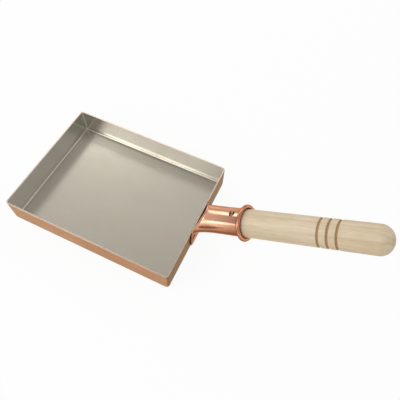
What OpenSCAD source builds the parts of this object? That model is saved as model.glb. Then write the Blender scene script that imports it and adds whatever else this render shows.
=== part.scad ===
// Rectangular copper omelette pan with a riveted copper socket and a turned wooden handle.
// Millimetres. Origin at the centre of the base, on the surface it rests on.
// +X runs towards the handle, +Y across the pan, +Z up.

/* [Pan] */
// Outside length of the tray, along the handle
pan_length = 180; // [120:1:240]
// Outside width of the tray
pan_width = 135; // [90:1:200]
// Height of the rim above the surface the pan rests on
pan_height = 30; // [27:1:45]
// Thickness of the copper sheet
copper_gauge = 1.3; // [0.8:0.1:2]
// Thickness of the tin wiped over the inside
tin_gauge = 0.2; // [0.1:0.05:0.4]
// Outside radius of the bends around the floor and at the corners
corner_radius = 3.5; // [3:0.25:8]

/* [Socket] */
// Angle of the handle above the level of the pan
socket_tilt = 30.5; // [20:0.5:40]
// Height of the handle's axis over the rim, where it crosses the wall's outer face
axis_rise = 4; // [0:0.5:8]
// Outside radius of the socket's tube
socket_radius = 13; // [11:0.25:15]
// Thickness of the socket's sheet
socket_gauge = 1.2; // [0.8:0.1:1.6]
// Distance along the axis from the wall to the middle of the rolled mouth
socket_length = 53; // [44:1:80]
// Radius of the rolled bead's section
bead_radius = 1.9; // [1.7:0.1:2.6]
// Distance along the axis at which the tube starts to flare towards the wall
flare_start = 24; // [21:0.5:28]
// How far the flare stands out from the tube where it turns flat on the wall
flare_reach = 4.5; // [3:0.25:5]
// How far the sheet's lip turns out at the top of the open end
lip_reach = 0.9; // [0.4:0.1:2]
// Lean of the open end's cut away from upright
mouth_lean = 18; // [8:1:26]

/* [Flange] */
// Width of the plate on the pan's wall
flange_width = 39; // [36:0.5:50]
// Height of the plate's lower edge above the surface the pan rests on
flange_foot = 3; // [2:0.25:4]
// How far the plate's two upper corners stand over the rim
wing_rise = 5.5; // [3:0.5:8]
// Gap between the plate and the wall, which the rivets pull together
flange_gap = 0.2; // [0.1:0.05:0.4]

/* [Rivets] */
// Radius of a rivet's shank
rivet_radius = 2; // [1.5:0.1:2.4]
// Radius of a rivet's heads
rivet_head_radius = 3.4; // [2.9:0.1:3.8]
// Height of the rounded head on the outside
rivet_dome = 1.5; // [1:0.1:2]
// Height of the low head inside the pan
rivet_flat = 0.8; // [0.5:0.1:1.2]
// Distance between the two outer rivets
rivet_spread = 25; // [22:0.5:26]
// Height of the two outer rivets above the surface the pan rests on
outer_rivet_height = 12; // [11:0.5:13]
// Height of the middle rivet above the surface the pan rests on
middle_rivet_height = 8.5; // [8:0.25:9]
// Clearance round a rivet's shank
rivet_clearance = 0.05; // [0.02:0.01:0.1]

/* [Handle] */
// Length of wood that shows, from the rolled mouth to the rounded end
grip_length = 122; // [90:1:180]
// Radius of the grip at the rolled mouth
grip_radius = 12.8; // [11:0.1:15]
// Radius of the grip where its rounded end begins
end_radius = 11.9; // [10:0.1:15]
// Length of the rounded end
end_length = 10.5; // [6:0.5:16]
// Distance of the first turned groove from the rounded end's tip
groove_setback = 38.5; // [34:0.5:50]
// Number of turned grooves
groove_count = 3; // [1:1:3]
// Spacing of the grooves along the grip
groove_pitch = 7.4; // [5:0.1:9]
// Width of a groove at the surface
groove_width = 2.2; // [1:0.1:3]
// Depth of a groove
groove_depth = 0.9; // [0.4:0.1:1]
// Clearance between the wood's tenon and the tube
tenon_clearance = 0.15; // [0.1:0.05:0.3]
// Distance of the tenon's end from the wall, along the axis
tenon_setback = 19; // [18:0.5:30]

/* [Screw] */
// Distance of the handle's screw from the wall, along the axis
screw_station = 43; // [30:0.5:46]
// Radius of the screw's shank
screw_radius = 1.2; // [0.8:0.1:1.6]
// Radius of the screw's head
screw_head_radius = 2.9; // [2.2:0.1:3.4]
// Height of the screw's head
screw_dome = 1.7; // [1.2:0.1:2.2]
// Length of the screw under its head
screw_length = 11; // [8:0.5:14]
// Width of the driver's slot in the head
slot_width = 0.7; // [0.5:0.1:1]
// Depth of the driver's slot
slot_depth = 0.8; // [0.5:0.1:1]
// Clearance round the screw in the tube's wall
screw_clearance = 0.15; // [0.05:0.05:0.3]

/* [Hidden] */
$fn = 96;

// Cuts run this far past the faces that they open
over = 5;

// Handle axis: where it crosses the wall, its direction and the upward normal to it
wall_x = pan_length / 2;
axis_foot = [wall_x, 0, pan_height + axis_rise];
along = [cos(socket_tilt), 0, sin(socket_tilt)];
above = [-sin(socket_tilt), 0, cos(socket_tilt)];
across = [0, 1, 0];

// Socket, in distances along the axis
bore_radius = socket_radius - socket_gauge;
step_out = bead_radius + 0.5;
tube_end = socket_length - step_out;

// Flange and open end: the plate's outer face, its corners and how far they stand off the tube
plate_x = wall_x + flange_gap + socket_gauge;
wing_top = pan_height + wing_rise;
wing_reach = flange_width / 2 - socket_radius;
corner_squareness = 12;
wing_sweep = 5;

// Stations round the socket's skirt, from its top to a wing's corner and on to its lowest line
upper_steps = 14;
lower_steps = 22;
stations = 2 * (upper_steps + lower_steps);
flare_steps = 8;
bead_start = -150;
bead_step = 22;

// Handle, in distances along the axis
tenon_radius = bore_radius - tenon_clearance;
grip_end = socket_length + grip_length;
groove_half = groove_width / 2;
groove_round = (groove_half * groove_half + groove_depth * groove_depth) / (2 * groove_depth);

// Rivet places on the wall, as [y, z]
rivet_places = [
    [-rivet_spread / 2, outer_rivet_height],
    [0, middle_rivet_height],
    [rivet_spread / 2, outer_rivet_height]
];
rivet_grip = copper_gauge + tin_gauge + flange_gap + socket_gauge;

// Half section of the tray's rounded side, from the line where the bend starts
module side_section(height, radius) {
    translate([0, radius]) square([radius, height - radius]);
    intersection() {
        translate([0, radius]) circle(radius);
        square([radius, radius]);
    }
}

// Solid block with rounded upright and lower edges and a flat top
module rounded_block(length, width, height, radius) {
    flat_x = length / 2 - radius;
    flat_y = width / 2 - radius;
    translate([-flat_x, -flat_y, 0]) cube([2 * flat_x, 2 * flat_y, height]);
    for (turn = [0, 180]) rotate([0, 0, turn]) {
        translate([flat_x, flat_y, 0]) rotate([90, 0, 0])
            linear_extrude(2 * flat_y) side_section(height, radius);
        translate([-flat_x, flat_y, 0]) rotate([90, 0, 90])
            linear_extrude(2 * flat_x) side_section(height, radius);
        translate([flat_x, flat_y, 0]) rotate_extrude(angle = 90) side_section(height, radius);
        translate([-flat_x, flat_y, 0]) rotate([0, 0, 90])
            rotate_extrude(angle = 90) side_section(height, radius);
    }
}

// Sheet tray: a layer that lies a distance inside the outermost one
module tray_layer(inset, gauge) {
    difference() {
        translate([0, 0, inset]) rounded_block(
            pan_length - 2 * inset, pan_width - 2 * inset, pan_height - inset, corner_radius - inset);
        translate([0, 0, inset + gauge]) rounded_block(
            pan_length - 2 * (inset + gauge), pan_width - 2 * (inset + gauge),
            pan_height, corner_radius - inset - gauge);
    }
}

// Puts a shape on the wall at each rivet, its axis along +X
module at_rivets() {
    for (place = rivet_places)
        translate([wall_x, place[0], place[1]]) rotate([0, 90, 0]) children();
}

module rivet_holes() {
    at_rivets() translate([0, 0, -2 * over])
        cylinder(r = rivet_radius + rivet_clearance, h = 4 * over);
}

module pan_body() {
    color([0.80, 0.52, 0.40]) difference() {
        tray_layer(0, copper_gauge);
        rivet_holes();
    }
}

module tin_lining() {
    color([0.72, 0.69, 0.62]) difference() {
        tray_layer(copper_gauge, tin_gauge);
        rivet_holes();
    }
}

// Puts a shape on the handle's axis: local +Z along it, local -X towards its upper side
module on_axis() {
    translate(axis_foot) rotate([0, 90 - socket_tilt, 0]) children();
}

// Point of a tube of the given radius, at a distance along the axis and an angle from its top
function tube_point(radius, distance, angle) =
    axis_foot + distance * along + radius * (cos(angle) * above + sin(angle) * across);

// Distance along the axis at which a line of the tube reaches the wall's plane at x = face,
// or, above the wings, the plane of the open end's cut, which leans back from it
function wall_distance(radius, angle, face) =
    (face - wall_x + radius * cos(angle) * sin(socket_tilt)) / cos(socket_tilt);
function cut_distance(radius, angle, face) =
    let (lean = tan(mouth_lean), over_axis = radius * cos(angle) * cos(socket_tilt))
    (face - wall_x + radius * cos(angle) * sin(socket_tilt)
        + lean * (axis_foot[2] + over_axis - wing_top))
    / (cos(socket_tilt) - lean * sin(socket_tilt));
function end_distance(radius, angle, face) =
    max(wall_distance(radius, angle, face), cut_distance(radius, angle, face));

// Angle round the tube at which its line reaches the wall's plane level with the wings' corners
function wing_angle(radius, face) =
    acos((wing_top - axis_foot[2] - (face - wall_x) * tan(socket_tilt)) * cos(socket_tilt) / radius);

// Angle of a station, with one station exactly at each wing's corner
function station_angle(i, corner) =
    i <= upper_steps ? corner * i / upper_steps
    : i <= stations / 2 ? corner + (180 - corner) * (i - upper_steps) / lower_steps
    : -station_angle(stations - i, corner);
function is_upper(i) = i < upper_steps || i > stations - upper_steps;

// Outward direction in the plane that the skirt ends in
function end_centre(face) = [face, 0, axis_foot[2] + (face - wall_x) * tan(socket_tilt)];
function outward(i, point, face) =
    let (arm = point - end_centre(face),
         lean = is_upper(i) ? tan(mouth_lean) : 0,
         way = [lean * arm[2], arm[1], arm[2]])
    way / norm(way);

// How far the sheet's edge stands off the tube above the wings, growing towards their corners
function edge_reach(i) =
    let (steps = min(i, stations - i))
    lip_reach + (wing_reach - lip_reach) * pow(min(1, steps / upper_steps), wing_sweep);
function flare_at(i) = edge_reach(i) * flare_reach / wing_reach;

// Point on one face of the flare: turn goes from 0, along the tube, to 90, flat on the end plane
function flare_point(i, turn, radius, face) =
    let (angle = station_angle(i, wing_angle(radius, face)),
         end = end_distance(radius, angle, face),
         foot = tube_point(radius, end, angle),
         reach = flare_at(i) + socket_radius - radius)
    foot + (flare_start - end) * (1 - sin(turn)) * along
        + reach * (1 - cos(turn)) * outward(i, foot, face);
function flare_ring(turn, radius, face) =
    [for (i = [0 : stations - 1]) flare_point(i, turn, radius, face)];

// Point on the sheet's outer edge: the plate's outline, or the lip above the wings
function edge_point(i, face, back) =
    let (angle = station_angle(i, wing_angle(socket_radius, face)),
         foot = tube_point(socket_radius, end_distance(socket_radius, angle, face), angle),
         way = outward(i, foot, face),
         centre = end_centre(face),
         depth = centre[2] - flange_foot,
         radius = pow(pow(abs(way[1]) * 2 / flange_width, corner_squareness)
             + pow(abs(way[2]) / depth, corner_squareness), -1 / corner_squareness))
    (is_upper(i) ? foot + edge_reach(i) * way : centre + radius * way) - [back, 0, 0];

// Ring round the tube at a radius and a distance along the axis
function tube_ring(radius, distance) =
    [for (i = [0 : stations - 1])
        tube_point(radius, distance, station_angle(i, wing_angle(socket_radius, plate_x)))];

// Rings of the rolled bead, from its foot on the tube over its back to the mouth
function bead_rings() =
    [for (turn = [bead_start : bead_step : 180])
        tube_ring(socket_radius + bead_radius * (1 + cos(turn)), socket_length + bead_radius * sin(turn))];

// The socket is one sheet: it flares from the round tube onto the upright plate below, stays
// open above, where its edge is cut on a lean, and rolls over into a bead at its mouth
module socket_sheet() {
    turns = [for (step = [0 : flare_steps]) 90 * step / flare_steps];
    back_x = plate_x - socket_gauge;
    rings = concat(
        [tube_ring(bore_radius, tube_end)],
        [for (step = [0 : flare_steps]) flare_ring(turns[step], bore_radius, back_x)],
        [for (back = [socket_gauge, 0]) [for (i = [0 : stations - 1]) edge_point(i, plate_x, back)]],
        [for (step = [flare_steps : -1 : 0]) flare_ring(turns[step], socket_radius, plate_x)],
        [tube_ring(socket_radius, tube_end)],
        bead_rings());
    count = len(rings);
    polyhedron(
        points = [for (ring = rings, point = ring) point],
        faces = [for (k = [0 : count - 1], i = [0 : stations - 1])
            let (j = (i + 1) % stations, next = (k + 1) % count,
                 a = k * stations + i, b = k * stations + j,
                 c = next * stations + j, d = next * stations + i)
            each [[a, c, b], [a, d, c]]]);
}

module handle_socket() {
    color([0.85, 0.60, 0.47]) difference() {
        socket_sheet();
        rivet_holes();
        on_axis() translate([0, 0, screw_station]) rotate([0, -90, 0])
            cylinder(r = screw_radius + screw_clearance, h = socket_radius + over);
    }
}

// Domed cap of a given height on a flat round seat
module dome(radius, height) {
    ball = (radius * radius + height * height) / (2 * height);
    rotate_extrude() intersection() {
        translate([0, height - ball]) circle(ball);
        square([radius, height]);
    }
}

module flange_rivets() {
    color([0.80, 0.55, 0.44]) at_rivets() {
        translate([0, 0, -copper_gauge - tin_gauge]) {
            cylinder(r = rivet_radius, h = rivet_grip);
            mirror([0, 0, 1]) dome(rivet_head_radius, rivet_flat);
            translate([0, 0, rivet_grip]) dome(rivet_head_radius, rivet_dome);
        }
    }
}

// Slotted round-head screw that pins the wood in the socket, from the upper side
module handle_screw() {
    color([0.78, 0.72, 0.60])
    on_axis() translate([0, 0, screw_station]) rotate([0, -90, 0]) {
        difference() {
            translate([0, 0, socket_radius]) dome(screw_head_radius, screw_dome);
            translate([-slot_width / 2, -screw_head_radius, socket_radius + screw_dome - slot_depth])
                cube([slot_width, 2 * screw_head_radius, screw_dome]);
        }
        translate([0, 0, socket_radius - screw_length]) cylinder(r = screw_radius, h = screw_length);
    }
}

// Quarter ellipse of the grip's rounded end, from its side to its tip
function rounded_end() = [
    for (turn = [0 : 7.5 : 90])
        [end_radius * cos(turn), grip_end - end_length + end_length * sin(turn)]
];

module wooden_handle() {
    color([0.90, 0.82, 0.68]) on_axis() difference() {
        rotate_extrude() polygon(concat(
            [[0, tenon_setback], [tenon_radius - 1, tenon_setback], [tenon_radius, tenon_setback + 1],
             [tenon_radius, tube_end], [grip_radius, socket_length]],
            rounded_end()));
        for (k = [0 : groove_count - 1]) {
            station = grip_end - groove_setback - k * groove_pitch;
            share = (station - socket_length) / (grip_length - end_length);
            surface = grip_radius + (end_radius - grip_radius) * share;
            translate([0, 0, station]) rotate_extrude()
                translate([surface - groove_depth + groove_round, 0]) circle(groove_round);
        }
        translate([0, 0, screw_station]) rotate([0, -90, 0])
            translate([0, 0, socket_radius - screw_length])
                cylinder(r = screw_radius, h = screw_length + over);
    }
}

pan_body();
tin_lining();
handle_socket();
flange_rivets();
handle_screw();
wooden_handle();
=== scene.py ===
"""Copper omelette pan: a tinned copper tray, a riveted copper socket and a turned wooden handle."""

import math

import bmesh
import bpy
from mathutils import Matrix, Vector


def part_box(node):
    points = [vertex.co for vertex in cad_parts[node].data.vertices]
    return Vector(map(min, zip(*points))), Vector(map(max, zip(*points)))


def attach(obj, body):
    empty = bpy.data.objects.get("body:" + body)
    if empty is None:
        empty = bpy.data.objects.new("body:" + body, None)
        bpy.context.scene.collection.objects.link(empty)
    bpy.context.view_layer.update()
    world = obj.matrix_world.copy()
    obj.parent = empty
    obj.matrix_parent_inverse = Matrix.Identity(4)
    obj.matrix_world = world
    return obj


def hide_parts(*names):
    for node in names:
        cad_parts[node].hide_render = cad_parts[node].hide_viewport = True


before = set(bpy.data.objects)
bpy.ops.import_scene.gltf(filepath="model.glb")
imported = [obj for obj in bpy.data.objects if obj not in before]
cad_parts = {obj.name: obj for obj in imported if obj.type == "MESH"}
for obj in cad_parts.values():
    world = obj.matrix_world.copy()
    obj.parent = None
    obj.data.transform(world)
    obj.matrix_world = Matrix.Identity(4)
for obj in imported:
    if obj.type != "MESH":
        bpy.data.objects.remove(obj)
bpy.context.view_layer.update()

MM = 0.001

# The tray and its tin: their boxes from the frame, and the sizes of the sheets
tray_low, tray_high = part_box("pan_body")
tin_low, tin_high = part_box("tin_lining")
TRAY_BEND = 3.5 * MM
BEND_SEGMENTS = 10
COPPER_GAUGE = tray_high.x - tin_high.x
TIN_GAUGE = 0.2 * MM
RIM_ROUNDING = 0.25 * MM

# Handle axis: where it crosses the wall's outer face, and its tilt above level
AXIS_RISE = 4 * MM
AXIS_FOOT = Vector((tray_high.x, 0, tray_high.z + AXIS_RISE))
AXIS_TILT = math.radians(30.5)
ALONG_HANDLE = Matrix.Translation(AXIS_FOOT) @ Matrix.Rotation(math.pi / 2 - AXIS_TILT, 4, "Y")

# Handle sizes, in distances along that axis
SOCKET_MOUTH = 53 * MM
TUBE_END = 50.6 * MM
TENON_START = 19 * MM
TENON_RADIUS = 11.65 * MM
TENON_CHAMFER = 1 * MM
GRIP_LENGTH = 122 * MM
GRIP_RADIUS = 12.8 * MM
END_RADIUS = 11.9 * MM
END_LENGTH = 10.5 * MM
GROOVES = 3
GROOVE_SETBACK = 38.5 * MM
GROOVE_PITCH = 7.4 * MM
GROOVE_HALF = 1.1 * MM
GROOVE_DEPTH = 0.9 * MM
GROOVE_STEPS = 10
SCORED_SHARE = 0.85
END_STEPS = 14
LATHE_STEPS = 96
GRIP_EASE = 0.3 * MM
SCREW_STATION = 43 * MM
SLOT_HALF = 0.37 * MM

# The same axis as finishes read it, level along X and measured from the origin
LEVELLED = (0.0, AXIS_TILT, 0.0)
MOUTH_LEVEL = AXIS_FOOT.x * math.cos(AXIS_TILT) + AXIS_FOOT.z * math.sin(AXIS_TILT) + SOCKET_MOUTH
MOUTH_BEAD = 2.2 * MM

# The tin's soft foot, where its walls lean into the bend
FOOT_TOP = 9 * MM
FOOT_FADE = 12 * MM
FOOT_SWELL = 1.35 * MM

# Vertices closer than these are one
NODE_MERGE = 0.002 * MM
LATHE_MERGE = 0.001 * MM

# The view of the photograph
VIEW_AZIMUTH = math.radians(21.303)
VIEW_ELEVATION = math.radians(59.779)
VIEW_ROLL = math.radians(4.215)
VIEW_DISTANCE = 433.0 * MM
VIEW_TARGET = Vector((75.4, 36.4, 0)) * MM
VIEW_LENS = 35.465

# The room's brightness at heights from the horizon, 0, to straight overhead, 1, where 1 is white
ROOM_LEVELS = ((0.0, 0.62), (0.25, 0.6), (0.55, 0.74), (0.8, 0.8), (0.93, 0.55))

# Where the lamps point, in metres
LAMP_AIM = Vector((0.03, 0, 0.02))

# The studio floor, in metres from its middle to a side, and the share of it that is seen as plain white
FLOOR_REACH = 4
FLOOR_DROP = 0.2 * MM
FLOOR_PAPER = (0.92, 0.92, 0.92, 1)
FLOOR_WHITE = 0.93

# Sockets of a colour Mix node
MIX_UNDER = 6
MIX_OVER = 7
MIX_RESULT = 2


def srgb(red, green, blue):
    """A colour as seen, from 0 to 255, as the linear colour that a shader takes."""
    def linear(byte):
        share = byte / 255
        return share / 12.92 if share <= 0.04045 else ((share + 0.055) / 1.055) ** 2.4
    return (linear(red), linear(green), linear(blue), 1)


# Node helpers

def add(nodes, kind, inputs=None, **settings):
    """A node of a kind, with its properties set by name and its inputs by a dict."""
    node = nodes.new(kind)
    for key, value in (inputs or {}).items():
        node.inputs[key].default_value = value
    for key, value in settings.items():
        setattr(node, key, value)
    return node


def new_group(name, inputs, outputs):
    """An empty shader group with named inputs, given as (kind, default), and named outputs."""
    group = bpy.data.node_groups.new(name, "ShaderNodeTree")
    for label, (kind, default) in inputs.items():
        socket = group.interface.new_socket(name=label, in_out="INPUT", socket_type="NodeSocket" + kind)
        if default is not None:
            socket.default_value = default
    for label, kind in outputs.items():
        group.interface.new_socket(name=label, in_out="OUTPUT", socket_type="NodeSocket" + kind)
    return group, group.nodes.new("NodeGroupInput"), group.nodes.new("NodeGroupOutput")


def make_cloudy_tone():
    """Two tones of one finish, mixed by a soft cloud of a given size."""
    group, source, result = new_group(
        "cloudy_tone",
        {"Place": ("Vector", None), "Patches per metre": ("Float", 30.0),
         "Tone": ("Color", (0.5, 0.5, 0.5, 1)), "Second tone": ("Color", (0.4, 0.4, 0.4, 1)),
         "From": ("Float", 0.35), "To": ("Float", 0.65)},
        {"Color": "Color", "Mask": "Float"})
    nodes, link = group.nodes, group.links.new
    cloud = add(nodes, "ShaderNodeTexNoise", inputs={"Detail": 5.0, "Roughness": 0.55})
    spread = add(nodes, "ShaderNodeMapRange")
    mix = add(nodes, "ShaderNodeMix", data_type="RGBA")
    link(source.outputs["Place"], cloud.inputs["Vector"])
    link(source.outputs["Patches per metre"], cloud.inputs["Scale"])
    link(cloud.outputs["Fac"], spread.inputs["Value"])
    link(source.outputs["From"], spread.inputs["From Min"])
    link(source.outputs["To"], spread.inputs["From Max"])
    link(spread.outputs["Result"], mix.inputs["Factor"])
    link(source.outputs["Tone"], mix.inputs[MIX_UNDER])
    link(source.outputs["Second tone"], mix.inputs[MIX_OVER])
    link(mix.outputs[MIX_RESULT], result.inputs["Color"])
    link(spread.outputs["Result"], result.inputs["Mask"])
    return group


def make_fine_lines():
    """Fine parallel lines of wiping, rolling or grain, long in one direction and thin across it."""
    group, source, result = new_group(
        "fine_lines",
        {"Place": ("Vector", None), "Lines per metre": ("Vector", (60.0, 2500.0, 2500.0)),
         "Softness": ("Float", 0.25)},
        {"Height": "Float", "Mask": "Float"})
    nodes, link = group.nodes, group.links.new
    stretch = add(nodes, "ShaderNodeVectorMath", operation="MULTIPLY")
    lines = add(nodes, "ShaderNodeTexNoise", inputs={"Scale": 1.0, "Detail": 4.0, "Roughness": 0.6})
    low = add(nodes, "ShaderNodeMath", operation="SUBTRACT", inputs={0: 0.5})
    high = add(nodes, "ShaderNodeMath", operation="ADD", inputs={0: 0.5})
    spread = add(nodes, "ShaderNodeMapRange")
    link(source.outputs["Place"], stretch.inputs[0])
    link(source.outputs["Lines per metre"], stretch.inputs[1])
    link(stretch.outputs[0], lines.inputs["Vector"])
    link(source.outputs["Softness"], low.inputs[1])
    link(source.outputs["Softness"], high.inputs[1])
    link(lines.outputs["Fac"], spread.inputs["Value"])
    link(low.outputs[0], spread.inputs["From Min"])
    link(high.outputs[0], spread.inputs["From Max"])
    link(lines.outputs["Fac"], result.inputs["Height"])
    link(spread.outputs["Result"], result.inputs["Mask"])
    return group


def make_band():
    """A soft mask, 1 where a coordinate passes a level and 0 a given distance before it."""
    group, source, result = new_group(
        "band",
        {"Coordinate": ("Float", 0.0), "Level": ("Float", 0.0), "Fade": ("Float", 0.001)},
        {"Mask": "Float"})
    nodes, link = group.nodes, group.links.new
    start = add(nodes, "ShaderNodeMath", operation="SUBTRACT")
    ramp = add(nodes, "ShaderNodeMapRange", interpolation_type="SMOOTHSTEP")
    link(source.outputs["Level"], start.inputs[0])
    link(source.outputs["Fade"], start.inputs[1])
    link(source.outputs["Coordinate"], ramp.inputs["Value"])
    link(start.outputs[0], ramp.inputs["From Min"])
    link(source.outputs["Level"], ramp.inputs["From Max"])
    link(ramp.outputs["Result"], result.inputs["Mask"])
    return group


CLOUDY_TONE = make_cloudy_tone()
FINE_LINES = make_fine_lines()
BAND = make_band()


# Finishes

class Finish:
    """A material whose shader, coordinates and bump chain are in place, ready for its own pattern."""

    def __init__(self, name, **shader_values):
        self.material = bpy.data.materials.new(name)
        self.material.use_nodes = True
        self.nodes = self.material.node_tree.nodes
        self.link = self.material.node_tree.links.new
        self.shader = self.nodes["Principled BSDF"]
        for label, value in shader_values.items():
            self.shader.inputs[label.replace("_", " ")].default_value = value
        self.place = add(self.nodes, "ShaderNodeTexCoord").outputs["Object"]
        self.normal = None

    def group(self, tree, place=None, **inputs):
        """One of the shared patterns, at the object's coordinates unless it is given others."""
        node = add(self.nodes, "ShaderNodeGroup", node_tree=tree)
        if "Place" in node.inputs:
            self.link(place or self.place, node.inputs["Place"])
        for label, value in inputs.items():
            node.inputs[label.replace("_", " ")].default_value = value
        return node

    def cloud(self, patches_per_metre, low, high):
        """A mask of soft patches, which show where a cloud rises from a low level to a high one."""
        node = self.group(CLOUDY_TONE, Tone=(0, 0, 0, 1), Second_tone=(1, 1, 1, 1),
                          Patches_per_metre=patches_per_metre, From=low, To=high)
        return node.outputs["Mask"]

    def turned(self, turn):
        """Object coordinates in which a pattern lies at another angle."""
        node = add(self.nodes, "ShaderNodeMapping", vector_type="POINT", inputs={"Rotation": turn})
        self.link(self.place, node.inputs["Vector"])
        return node.outputs["Vector"]

    def mix(self, mask, first, second, share=1.0):
        """One colour over another by a mask, at most to a given share."""
        if share < 1:
            scale = add(self.nodes, "ShaderNodeMath", operation="MULTIPLY", inputs={1: share})
            self.link(mask, scale.inputs[0])
            mask = scale.outputs[0]
        node = add(self.nodes, "ShaderNodeMix", data_type="RGBA")
        self.link(mask, node.inputs["Factor"])
        for socket, value in ((MIX_UNDER, first), (MIX_OVER, second)):
            if isinstance(value, tuple):
                node.inputs[socket].default_value = value
            else:
                self.link(value, node.inputs[socket])
        return node.outputs[MIX_RESULT]

    def between(self, mask, low, high):
        """A value that runs from low to high with a mask."""
        node = add(self.nodes, "ShaderNodeMapRange", inputs={"To Min": low, "To Max": high})
        self.link(mask, node.inputs["Value"])
        return node.outputs["Result"]

    def opposite(self, mask):
        """The rest of a mask."""
        node = add(self.nodes, "ShaderNodeMath", operation="SUBTRACT", inputs={0: 1.0})
        self.link(mask, node.inputs[1])
        return node.outputs[0]

    def noise(self, lumps_per_metre, detail):
        """Soft lumps of a given size, for a relief."""
        node = add(self.nodes, "ShaderNodeTexNoise", inputs={"Scale": lumps_per_metre, "Detail": detail})
        self.link(self.place, node.inputs["Vector"])
        return node.outputs["Fac"]

    def bump(self, height, distance, strength=1.0):
        """Adds a relief of a given real height over the ones before it."""
        node = add(self.nodes, "ShaderNodeBump", inputs={"Strength": strength, "Distance": distance})
        self.link(height, node.inputs["Height"])
        if self.normal:
            self.link(self.normal, node.inputs["Normal"])
        self.normal = node.outputs["Normal"]

    def part(self, axis, vector=None):
        """One coordinate of the place on the object, or of another vector."""
        node = add(self.nodes, "ShaderNodeSeparateXYZ")
        self.link(vector or self.place, node.inputs[0])
        return node.outputs[axis]

    def past(self, axis, level, fade, place=None):
        """A mask that is 1 past a level of one coordinate."""
        node = self.group(BAND, Level=level, Fade=fade)
        self.link(self.part(axis, place), node.inputs["Coordinate"])
        return node.outputs["Mask"]

    def hollow(self, least, most):
        """A mask of the hollows and roots of the shape, from a mild curve to a sharp one."""
        shape = add(self.nodes, "ShaderNodeNewGeometry")
        node = add(self.nodes, "ShaderNodeMapRange", inputs={"From Min": least, "From Max": most})
        self.link(shape.outputs["Pointiness"], node.inputs["Value"])
        return node.outputs["Result"]

    def underside(self, start, full):
        """A mask of what faces down, from one share of the upward direction to another."""
        shape = add(self.nodes, "ShaderNodeNewGeometry")
        node = add(self.nodes, "ShaderNodeMapRange", inputs={"From Min": start, "From Max": full})
        self.link(self.part("Z", shape.outputs["Normal"]), node.inputs["Value"])
        return node.outputs["Result"]

    def done(self, colour, roughness):
        """Joins the pattern to the shader and gives the finished material."""
        self.link(colour, self.shader.inputs["Base Color"])
        self.link(roughness, self.shader.inputs["Roughness"])
        self.link(self.normal, self.shader.inputs["Normal"])
        return self.material


def wiped_tin():
    """Tin wiped on hot: satin, a little cloudy, its wiping lines faint, its sheet a little uneven."""
    f = Finish("wiped_tin", Metallic=1.0)
    tone = f.group(CLOUDY_TONE, Patches_per_metre=26.0,
                   Tone=srgb(206, 200, 186), Second_tone=srgb(198, 190, 174))
    wiping = f.group(FINE_LINES, Lines_per_metre=(90.0, 1700.0, 900.0), Softness=0.22)
    colour = f.mix(wiping.outputs["Mask"], tone.outputs["Color"], srgb(190, 182, 164), 0.3)
    # Painted sheen: the tin walls are toned a plain neutral grey, in place of the whiter sheen they show at a
    # grazing angle.
    walls = f.past("Z", 5 * MM, 3 * MM)
    colour = f.mix(walls, colour, srgb(204, 204, 203), 0.85)
    f.bump(f.opposite(f.past("Z", FOOT_TOP, FOOT_FADE)), FOOT_SWELL)
    f.bump(f.noise(16.0, 1.0), 0.35 * MM, 0.6)
    f.bump(wiping.outputs["Height"], 0.004 * MM, 0.1)
    return f.done(colour, f.between(tone.outputs["Mask"], 0.18, 0.26))


def satin_copper():
    """Rolled copper: satin, faintly streaked, with painted shade on the handle's side wall, paler along the
    rim's top.
    """
    f = Finish("satin_copper", Metallic=1.0, Specular_Tint=(0.70, 0.64, 0.50, 1))
    tone = f.group(CLOUDY_TONE, Patches_per_metre=34.0,
                   Tone=srgb(220, 172, 142), Second_tone=srgb(208, 156, 126))
    slanted = f.turned((0.0, math.radians(35), 0.0))
    rolling = f.group(FINE_LINES, place=slanted, Lines_per_metre=(70.0, 1400.0, 1400.0), Softness=0.2)
    colour = f.mix(rolling.outputs["Mask"], tone.outputs["Color"], srgb(188, 130, 100), 0.45)
    colour = f.mix(f.cloud(9.0, 0.5, 0.75), colour, srgb(182, 120, 88), 0.3)
    # Painted shade: the whole wall on the handle's side is darkened to brown, in place of its dark reflection
    # of the shaded ground.
    painted_end_wall_shade = f.past("X", tray_high.x - 0.3 * MM, 2.0 * MM)
    colour = f.mix(painted_end_wall_shade, colour, srgb(116, 72, 52), 0.75)
    # Paler along the rim's top.
    rim = f.past("Z", tray_high.z - 0.05 * MM, 0.25 * MM)
    colour = f.mix(rim, colour, srgb(222, 204, 184), 0.85)
    f.bump(f.noise(14.0, 1.0), 0.3 * MM, 0.5)
    f.bump(rolling.outputs["Height"], 0.02 * MM, 0.4)
    return f.done(colour, f.between(rolling.outputs["Mask"], 0.3, 0.4))


def polished_copper():
    """Copper polished bright, duller on the rolled mouth, with painted shade in the hollows and on what faces
    down.
    """
    f = Finish("polished_copper", Metallic=1.0, Specular_Tint=srgb(232, 196, 172))
    tone = f.group(CLOUDY_TONE, Patches_per_metre=45.0,
                   Tone=srgb(250, 198, 168), Second_tone=srgb(240, 178, 146))
    level = f.turned(LEVELLED)
    marks = f.group(FINE_LINES, place=level, Lines_per_metre=(60.0, 2600.0, 2600.0), Softness=0.2)
    colour = f.mix(marks.outputs["Mask"], tone.outputs["Color"], srgb(214, 150, 122), 0.3)
    rolled_mouth = f.past("X", MOUTH_LEVEL - MOUTH_BEAD, 0.8 * MM, place=level)
    colour = f.mix(rolled_mouth, colour, srgb(196, 130, 98), 0.8)
    # Painted shade: the hollows and roots are darkened, where shade falls.
    colour = f.mix(f.hollow(0.5, 0.44), colour, srgb(150, 88, 62), 0.7)
    # Painted shade: what faces down is darkened to deep brown, in place of the shade and dark reflections
    # underneath.
    colour = f.mix(f.underside(0.42, 0.0), colour, srgb(132, 76, 50), 0.9)
    f.bump(f.noise(60.0, 1.0), 0.12 * MM, 0.5)
    f.bump(marks.outputs["Height"], 0.01 * MM, 0.3)
    return f.done(colour, f.between(tone.outputs["Mask"], 0.13, 0.2))


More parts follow.
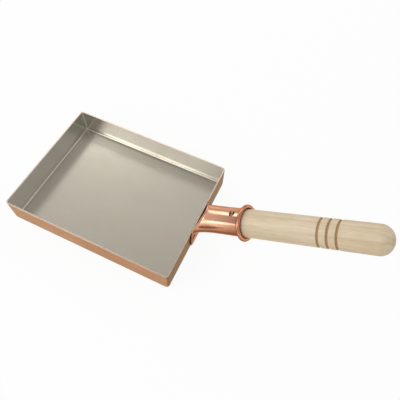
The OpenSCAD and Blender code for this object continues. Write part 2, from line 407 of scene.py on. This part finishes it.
def rivet_copper():
    """Hammered copper of the rivets, tinned over where the heads lie inside the pan."""
    f = Finish("rivet_copper", Metallic=1.0, Specular_Tint=srgb(214, 160, 130))
    tone = f.group(CLOUDY_TONE, Patches_per_metre=220.0,
                   Tone=srgb(224, 166, 140), Second_tone=srgb(200, 138, 110))
    outside = f.past("X", tin_high.x + 0.5 * MM, 0.1 * MM)
    colour = f.mix(outside, srgb(202, 195, 177), tone.outputs["Color"])
    f.bump(f.noise(420.0, 2.0), 0.12 * MM, 0.5)
    return f.done(colour, f.between(tone.outputs["Mask"], 0.2, 0.34))


def screw_metal():
    """Metal of the screw, coppery, spotted with painted shade for the shadows and dark reflections on its
    head.
    """
    f = Finish("screw_metal", Metallic=1.0)
    tone = f.group(CLOUDY_TONE, Patches_per_metre=300.0,
                   Tone=srgb(222, 170, 142), Second_tone=srgb(190, 138, 110))
    # Painted shade: dark patches on the screw, in place of the shadow and dark reflections on its head.
    colour = f.mix(f.cloud(520.0, 0.46, 0.56), tone.outputs["Color"], srgb(58, 34, 24), 0.9)
    f.bump(f.noise(800.0, 2.0), 0.05 * MM, 0.5)
    return f.done(colour, f.between(tone.outputs["Mask"], 0.16, 0.3))


def painted_slot_shade():
    """Painted shade, dark, that fills the screw's slot."""
    f = Finish("painted_slot_shade", Metallic=0.0, Specular_IOR_Level=0.2)
    tone = f.group(CLOUDY_TONE, Patches_per_metre=900.0,
                   Tone=srgb(34, 20, 15), Second_tone=srgb(22, 13, 10))
    f.bump(f.noise(1500.0, 2.0), 0.04 * MM, 0.5)
    return f.done(tone.outputs["Color"], f.between(tone.outputs["Mask"], 0.6, 0.8))


def wood(name, light, dark, streak, roughness):
    """Plain pale wood turned on a lathe, its grain running along the handle."""
    f = Finish(name, Metallic=0.0, Specular_IOR_Level=0.35)
    down_grain = f.turned(LEVELLED)
    tone = f.group(CLOUDY_TONE, place=down_grain, Patches_per_metre=22.0,
                   Tone=light, Second_tone=dark, From=0.3, To=0.7)
    growth = f.group(FINE_LINES, place=down_grain, Lines_per_metre=(5.0, 230.0, 140.0), Softness=0.15)
    pores = f.group(FINE_LINES, place=down_grain, Lines_per_metre=(110.0, 2600.0, 2600.0), Softness=0.16)
    colour = f.mix(growth.outputs["Mask"], tone.outputs["Color"], streak, 0.5)
    colour = f.mix(pores.outputs["Mask"], colour, streak, 0.35)
    f.bump(growth.outputs["Height"], 0.08 * MM, 0.3)
    f.bump(pores.outputs["Height"], 0.05 * MM, 0.45)
    return f.done(colour, f.between(pores.outputs["Mask"], roughness, roughness + 0.1))


# Pieces of the pan

def put_in_scene(name, data):
    """An object made of a mesh, a lamp or a camera, and put in the scene."""
    thing = bpy.data.objects.new(name, data)
    bpy.context.scene.collection.objects.link(thing)
    return thing


def mesh_object(name, bm, *materials):
    """An object made of a bmesh, with its materials."""
    mesh = bpy.data.meshes.new(name)
    bm.to_mesh(mesh)
    bm.free()
    for material in materials:
        mesh.materials.append(material)
    return put_in_scene(name, mesh)


def new_piece(name, bm, slot, *materials, replaces, smooth_angle):
    """A finished piece, which takes a CAD node's place and rides on the one rigid body."""
    piece = mesh_object(name, bm, *materials)
    piece.data.shade_smooth()
    piece.data.set_sharp_from_angle(angle=math.radians(smooth_angle))
    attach(piece, "root")
    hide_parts(replaces)
    return piece


def modifier(piece, kind, **settings):
    """Adds a finishing modifier to a piece."""
    added = piece.modifiers.new(kind.lower(), kind)
    for key, value in settings.items():
        setattr(added, key, value)


def tray_sheet(name, low, high, bend, gauge, slot, material, node):
    """One sheet of the tray: a box with bent edges and an open top, given its thickness inwards."""
    bm = bmesh.new()
    bmesh.ops.create_cube(bm, size=1)
    bmesh.ops.scale(bm, vec=high - low, verts=bm.verts)
    bmesh.ops.translate(bm, vec=(low + high) / 2, verts=bm.verts)
    bent = [edge for edge in bm.edges if all(face.normal.z < 0.9 for face in edge.link_faces)]
    bmesh.ops.bevel(bm, geom=bent, affect="EDGES", offset=bend, offset_type="OFFSET",
                    segments=BEND_SEGMENTS, profile=0.5, material=-1, clamp_overlap=True)
    lid = [face for face in bm.faces if face.normal.z > 0.9]
    bmesh.ops.delete(bm, geom=lid, context="FACES")
    piece = new_piece(name, bm, slot, material, replaces=node, smooth_angle=45)
    modifier(piece, "SOLIDIFY", thickness=gauge, offset=-1, use_even_offset=True, use_quality_normals=True)
    modifier(piece, "BEVEL", width=min(RIM_ROUNDING, gauge / 3), segments=3, limit_method="ANGLE",
             angle_limit=math.radians(60), harden_normals=True)


def smoothed_node(name, node, slot, material, angle=35):
    """A copy of a CAD node with its loose triangles merged, so that its curves shade smoothly."""
    bm = bmesh.new()
    bm.from_mesh(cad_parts[node].data)
    bmesh.ops.remove_doubles(bm, verts=bm.verts, dist=NODE_MERGE)
    return new_piece(name, bm, slot, material, replaces=node, smooth_angle=angle)


def socket_screw():
    """The screw, its slot's faces given their painted shade."""
    screw = smoothed_node("socket_screw", "handle_screw", "screw_metal", screw_metal())
    # The second material is the painted shade of the slot.
    screw.data.materials.append(painted_slot_shade())
    off_axis = ALONG_HANDLE.inverted()
    for face in screw.data.polygons:
        station = (off_axis @ face.center).z
        if abs(station - SCREW_STATION) < SLOT_HALF:
            face.material_index = 1


def spun_profile(profile):
    """A closed turned shape from (radius, distance) points, stood on the handle's axis."""
    bm = bmesh.new()
    points = [bm.verts.new((radius, 0, distance)) for radius, distance in profile]
    lines = [bm.edges.new(pair) for pair in zip(points, points[1:])]
    bmesh.ops.spin(bm, geom=points + lines, cent=(0, 0, 0), axis=(0, 0, 1), angle=2 * math.pi,
                   steps=LATHE_STEPS, use_merge=True)
    bmesh.ops.remove_doubles(bm, verts=bm.verts, dist=LATHE_MERGE)
    bmesh.ops.recalc_face_normals(bm, faces=bm.faces)
    return bm


def grip_surface(distance):
    """Radius of the tapered grip at a distance along the axis."""
    share = (distance - SOCKET_MOUTH) / (GRIP_LENGTH - END_LENGTH)
    return GRIP_RADIUS + (END_RADIUS - GRIP_RADIUS) * share


def groove_points(station):
    """Round-bottomed groove across the grip's surface, from its near lip to its far lip."""
    ball = (GROOVE_HALF ** 2 + GROOVE_DEPTH ** 2) / (2 * GROOVE_DEPTH)
    half_turn = math.asin(GROOVE_HALF / ball)
    centre = grip_surface(station) - GROOVE_DEPTH + ball
    turns = [half_turn * (2 * k / GROOVE_STEPS - 1) for k in range(GROOVE_STEPS + 1)]
    return [(centre - ball * math.cos(turn), station + ball * math.sin(turn)) for turn in turns]


def end_points(tip):
    """The rounded end of the grip, from its widest ring to its tip."""
    turns = [math.pi / 2 * k / END_STEPS for k in range(END_STEPS + 1)]
    return [(END_RADIUS * math.cos(turn), tip - END_LENGTH + END_LENGTH * math.sin(turn)) for turn in turns]


def turned_grip():
    """The wooden handle: a tenon in the socket, a tapered grip, scored grooves and a rounded end."""
    tip = SOCKET_MOUTH + GRIP_LENGTH
    stations = [tip - GROOVE_SETBACK - k * GROOVE_PITCH for k in reversed(range(GROOVES))]
    profile = [(0, TENON_START), (TENON_RADIUS - TENON_CHAMFER, TENON_START),
               (TENON_RADIUS, TENON_START + TENON_CHAMFER), (TENON_RADIUS, TUBE_END),
               (GRIP_RADIUS, SOCKET_MOUTH)]
    for station in stations:
        profile += groove_points(station)
    bm = spun_profile(profile + end_points(tip))
    for face in bm.faces:
        place = face.calc_center_median().z
        in_groove = any(abs(place - station) < SCORED_SHARE * GROOVE_HALF for station in stations)
        face.material_index = 1 if in_groove else 0
    bmesh.ops.transform(bm, matrix=ALONG_HANDLE, verts=bm.verts)
    pale = wood("pale_wood", srgb(240, 229, 205), srgb(229, 211, 181), srgb(178, 146, 102), 0.5)
    scored = wood("scored_wood", srgb(190, 156, 114), srgb(176, 140, 98), srgb(150, 114, 76), 0.62)
    grip = new_piece("turned_grip", bm, "pale_wood", pale, scored, replaces="wooden_handle", smooth_angle=40)
    modifier(grip, "BEVEL", width=GRIP_EASE, segments=3, limit_method="ANGLE", angle_limit=math.radians(42))


# Studio

def white_paper():
    """Pale paper that the camera and the metal see as nearly plain white, with its shadows kept."""
    material = bpy.data.materials.new("white_paper")
    material.use_nodes = True
    nodes, link = material.node_tree.nodes, material.node_tree.links.new
    nodes.clear()
    path = add(nodes, "ShaderNodeLightPath")
    seen = path.outputs["Is Camera Ray"]
    for ray in ("Is Glossy Ray", "Is Transmission Ray"):
        either = add(nodes, "ShaderNodeMath", operation="MAXIMUM")
        link(seen, either.inputs[0])
        link(path.outputs[ray], either.inputs[1])
        seen = either.outputs[0]
    share = add(nodes, "ShaderNodeMath", operation="MULTIPLY", inputs={1: FLOOR_WHITE})
    paper = add(nodes, "ShaderNodeBsdfDiffuse", inputs={"Color": FLOOR_PAPER})
    white = add(nodes, "ShaderNodeEmission", inputs={"Color": (1, 1, 1, 1), "Strength": 1.0})
    mix = add(nodes, "ShaderNodeMixShader")
    out = add(nodes, "ShaderNodeOutputMaterial")
    link(seen, share.inputs[0])
    link(share.outputs[0], mix.inputs["Fac"])
    link(paper.outputs[0], mix.inputs[1])
    link(white.outputs[0], mix.inputs[2])
    link(mix.outputs[0], out.inputs["Surface"])
    return material


def white_floor():
    """The floor under the pan."""
    bm = bmesh.new()
    bmesh.ops.create_grid(bm, x_segments=1, y_segments=1, size=FLOOR_REACH)
    bmesh.ops.translate(bm, vec=(0, 0, -FLOOR_DROP), verts=bm.verts)
    mesh_object("studio_floor", bm, white_paper())


def studio_room():
    """The room's soft light, brightest high up, and white where the camera looks past the floor."""
    world = bpy.data.worlds.new("studio_room")
    bpy.context.scene.world = world
    world.use_nodes = True
    nodes, link = world.node_tree.nodes, world.node_tree.links.new
    nodes.clear()
    place = add(nodes, "ShaderNodeTexCoord")
    height = add(nodes, "ShaderNodeSeparateXYZ")
    ramp = add(nodes, "ShaderNodeValToRGB")
    while len(ramp.color_ramp.elements) < len(ROOM_LEVELS):
        ramp.color_ramp.elements.new(0.5)
    for element, (position, level) in zip(ramp.color_ramp.elements, ROOM_LEVELS):
        element.position = position
        element.color = (level, level, level, 1)
    path = add(nodes, "ShaderNodeLightPath")
    mix = add(nodes, "ShaderNodeMix", data_type="RGBA", inputs={MIX_OVER: (1, 1, 1, 1)})
    sky = add(nodes, "ShaderNodeBackground", inputs={"Strength": 1.0})
    out = add(nodes, "ShaderNodeOutputWorld")
    link(place.outputs["Generated"], height.inputs[0])
    link(height.outputs["Z"], ramp.inputs["Fac"])
    link(path.outputs["Is Camera Ray"], mix.inputs["Factor"])
    link(ramp.outputs["Color"], mix.inputs[MIX_UNDER])
    link(mix.outputs[MIX_RESULT], sky.inputs["Color"])
    link(sky.outputs[0], out.inputs["Surface"])


def softbox(name, place, width, depth, brightness):
    """A soft lamp of a given brightness, where 1 is as bright as white paper."""
    lamp = bpy.data.lights.new(name, "AREA")
    lamp.shape = "RECTANGLE"
    lamp.size = width
    lamp.size_y = depth
    lamp.energy = brightness * math.pi * width * depth
    holder = put_in_scene(name, lamp)
    holder.location = place
    holder.rotation_mode = "QUATERNION"
    holder.rotation_quaternion = (LAMP_AIM - Vector(place)).to_track_quat("-Z", "Y")


def photo_camera():
    """The camera at the photograph's angle, a little rolled."""
    across = math.cos(VIEW_ELEVATION)
    rise = math.sin(VIEW_ELEVATION)
    back = Vector((math.sin(VIEW_AZIMUTH) * across, -math.cos(VIEW_AZIMUTH) * across, rise))
    level_right = Vector((0, 0, 1)).cross(back).normalized()
    level_up = back.cross(level_right)
    right = math.cos(VIEW_ROLL) * level_right + math.sin(VIEW_ROLL) * level_up
    up = math.cos(VIEW_ROLL) * level_up - math.sin(VIEW_ROLL) * level_right
    data = bpy.data.cameras.new("photo_camera")
    data.lens = VIEW_LENS
    data.sensor_width = 36
    data.clip_start = 0.01
    camera = put_in_scene("photo_camera", data)
    turn = Matrix((right, up, back)).transposed()
    camera.matrix_world = Matrix.Translation(VIEW_TARGET + back * VIEW_DISTANCE) @ turn.to_4x4()
    bpy.context.scene.camera = camera


# The pan
tray_sheet("copper_tray", tray_low, tray_high, TRAY_BEND, COPPER_GAUGE,
           "copper_sheet", satin_copper(), "pan_body")
tray_sheet("tin_lining_sheet", tin_low, tin_high, TRAY_BEND - COPPER_GAUGE, TIN_GAUGE,
           "tin", wiped_tin(), "tin_lining")
smoothed_node("copper_socket", "handle_socket", "polished_copper", polished_copper(), angle=32)
smoothed_node("socket_rivets", "flange_rivets", "rivet_copper", rivet_copper())
socket_screw()
turned_grip()

# The studio
white_floor()
studio_room()
softbox("front_softbox", place=(-0.56, -0.97, 0.66), width=0.62, depth=0.36, brightness=3.9)
softbox("top_softbox", place=(-0.72, -0.76, 1.22), width=0.9, depth=0.5, brightness=1.05)
softbox("back_softbox", place=(-0.45, 0.95, 0.95), width=1.2, depth=0.6, brightness=1.15)
softbox("side_softbox", place=(-1.15, 0.5, 0.47), width=0.5, depth=0.4, brightness=1.9)
softbox("low_softbox", place=(-0.75, -1.1, 0.16), width=0.7, depth=0.28, brightness=1.9)
photo_camera()
bpy.context.scene.view_settings.view_transform = "Standard"
